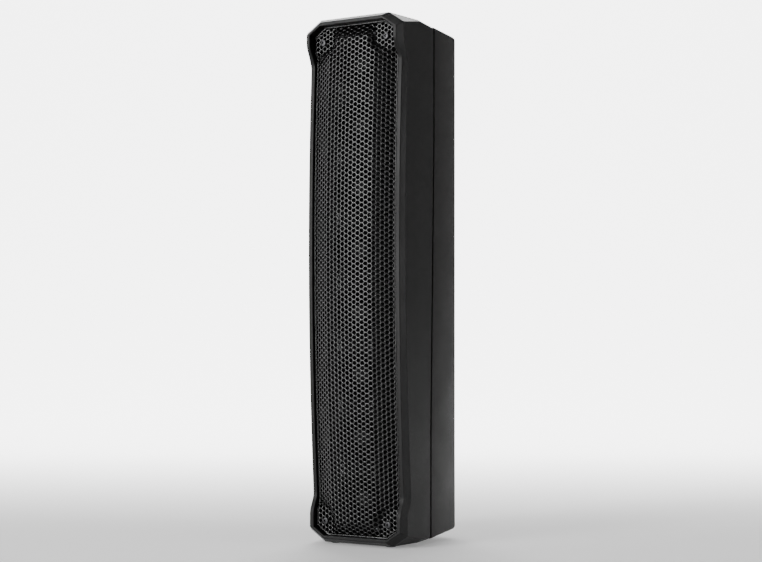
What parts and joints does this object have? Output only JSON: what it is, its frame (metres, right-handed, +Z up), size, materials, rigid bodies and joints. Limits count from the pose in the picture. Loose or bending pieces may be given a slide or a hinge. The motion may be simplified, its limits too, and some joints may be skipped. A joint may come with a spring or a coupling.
{
  "type": "column line array loudspeaker",
  "caption": "Slim upright column loudspeaker: a gently bowed perforated grille over a vertical row of small cone drivers, in a black two-shell cabinet with chamfered ends.",
  "frame": {"origin": "on the floor, under the middle of the cabinet's bounding box", "axes": "+Z up along the column, -Y out of the grille, +X to the right seen from the back, so the front faces -Y"},
  "size_m": [0.138, 0.1559, 0.6316],
  "materials": {
    "shell_plastic": "black moulded plastic with a fine matt grain",
    "gasket_rubber": "black rubber strip",
    "grille_paint": "perforated steel sheet, matt black powder coat",
    "black_steel": "blackened steel screws",
    "frame_metal": "black painted pressed steel",
    "magnet_steel": "plain steel cup and plates",
    "cone_paper": "black treated paper cone and grey cap",
    "surround_rubber": "thin black rubber roll",
    "plate_plastic": "black moulded plastic plate",
    "socket_plastic": "dark moulded plastic connector",
    "pole_steel": "black painted steel cup",
    "foot_rubber": "black rubber",
    "wadding_fibre": "off-white fibre wadding",
    "board_laminate": "green circuit board laminate",
    "coil_copper": "wound copper wire, lacquered",
    "capacitor_case": "dark shrink sleeve",
    "loom_sleeve": "black cloth sleeve"
  },
  "bodies": {
    "cabinet": {"front_shell": "shell_plastic", "rear_shell": "shell_plastic", "seam_gasket": "gasket_rubber", "grille": "grille_paint", "grille_screw_1": "black_steel", "grille_screw_2": "black_steel", "grille_screw_3": "black_steel", "grille_screw_4": "black_steel", "shell_screw_1": "black_steel", "shell_screw_2": "black_steel", "shell_screw_3": "black_steel", "shell_screw_4": "black_steel", "shell_screw_5": "black_steel", "shell_screw_6": "black_steel", "driver_frame_1": "frame_metal", "driver_magnet_1": "magnet_steel", "driver_surround_1": "surround_rubber", "driver_frame_2": "frame_metal", "driver_magnet_2": "magnet_steel", "driver_surround_2": "surround_rubber", "driver_frame_3": "frame_metal", "driver_magnet_3": "magnet_steel", "driver_surround_3": "surround_rubber", "driver_frame_4": "frame_metal", "driver_magnet_4": "magnet_steel", "driver_surround_4": "surround_rubber", "driver_frame_5": "frame_metal", "driver_magnet_5": "magnet_steel", "driver_surround_5": "surround_rubber", "driver_frame_6": "frame_metal", "driver_magnet_6": "magnet_steel", "driver_surround_6": "surround_rubber", "driver_frame_7": "frame_metal", "driver_magnet_7": "magnet_steel", "driver_surround_7": "surround_rubber", "driver_frame_8": "frame_metal", "driver_magnet_8": "magnet_steel", "driver_surround_8": "surround_rubber", "connector_plate": "plate_plastic", "speaker_socket_in": "socket_plastic", "speaker_socket_link": "socket_plastic", "pole_socket": "pole_steel", "foot_1": "foot_rubber", "foot_2": "foot_rubber", "foot_3": "foot_rubber", "foot_4": "foot_rubber", "damping_wadding": "wadding_fibre", "filter_board": "board_laminate", "filter_coil": "coil_copper", "filter_capacitor": "capacitor_case", "wiring_loom": "loom_sleeve"},
    "cone_1": {"driver_cone_1": "cone_paper"},
    "cone_2": {"driver_cone_2": "cone_paper"},
    "cone_3": {"driver_cone_3": "cone_paper"},
    "cone_4": {"driver_cone_4": "cone_paper"},
    "cone_5": {"driver_cone_5": "cone_paper"},
    "cone_6": {"driver_cone_6": "cone_paper"},
    "cone_7": {"driver_cone_7": "cone_paper"},
    "cone_8": {"driver_cone_8": "cone_paper"}
  },
  "joints": [
    {"name": "cone_1_travel", "type": "slide", "parent": "cabinet", "child": "cone_1", "axis": [0, -0.9983, 0.0581], "range_m": [-0.0025, 0.0025], "stiffness_N_per_m": 800, "deforming": ["driver_surround_1"]},
    {"name": "cone_2_travel", "type": "slide", "parent": "cabinet", "child": "cone_2", "axis": [0, -0.9992, 0.0389], "range_m": [-0.0025, 0.0025], "stiffness_N_per_m": 800, "deforming": ["driver_surround_2"]},
    {"name": "cone_3_travel", "type": "slide", "parent": "cabinet", "child": "cone_3", "axis": [0, -0.9998, 0.0197], "range_m": [-0.0025, 0.0025], "stiffness_N_per_m": 800, "deforming": ["driver_surround_3"]},
    {"name": "cone_4_travel", "type": "slide", "parent": "cabinet", "child": "cone_4", "axis": [0, -1, 0.0005], "range_m": [-0.0025, 0.0025], "stiffness_N_per_m": 800, "deforming": ["driver_surround_4"]},
    {"name": "cone_5_travel", "type": "slide", "parent": "cabinet", "child": "cone_5", "axis": [0, -0.9998, -0.0187], "range_m": [-0.0025, 0.0025], "stiffness_N_per_m": 800, "deforming": ["driver_surround_5"]},
    {"name": "cone_6_travel", "type": "slide", "parent": "cabinet", "child": "cone_6", "axis": [0, -0.9993, -0.0379], "range_m": [-0.0025, 0.0025], "stiffness_N_per_m": 800, "deforming": ["driver_surround_6"]},
    {"name": "cone_7_travel", "type": "slide", "parent": "cabinet", "child": "cone_7", "axis": [0, -0.9984, -0.0571], "range_m": [-0.0025, 0.0025], "stiffness_N_per_m": 800, "deforming": ["driver_surround_7"]},
    {"name": "cone_8_travel", "type": "slide", "parent": "cabinet", "child": "cone_8", "axis": [0, -0.9971, -0.0762], "range_m": [-0.0025, 0.0025], "stiffness_N_per_m": 800, "deforming": ["driver_surround_8"]}
  ]
}
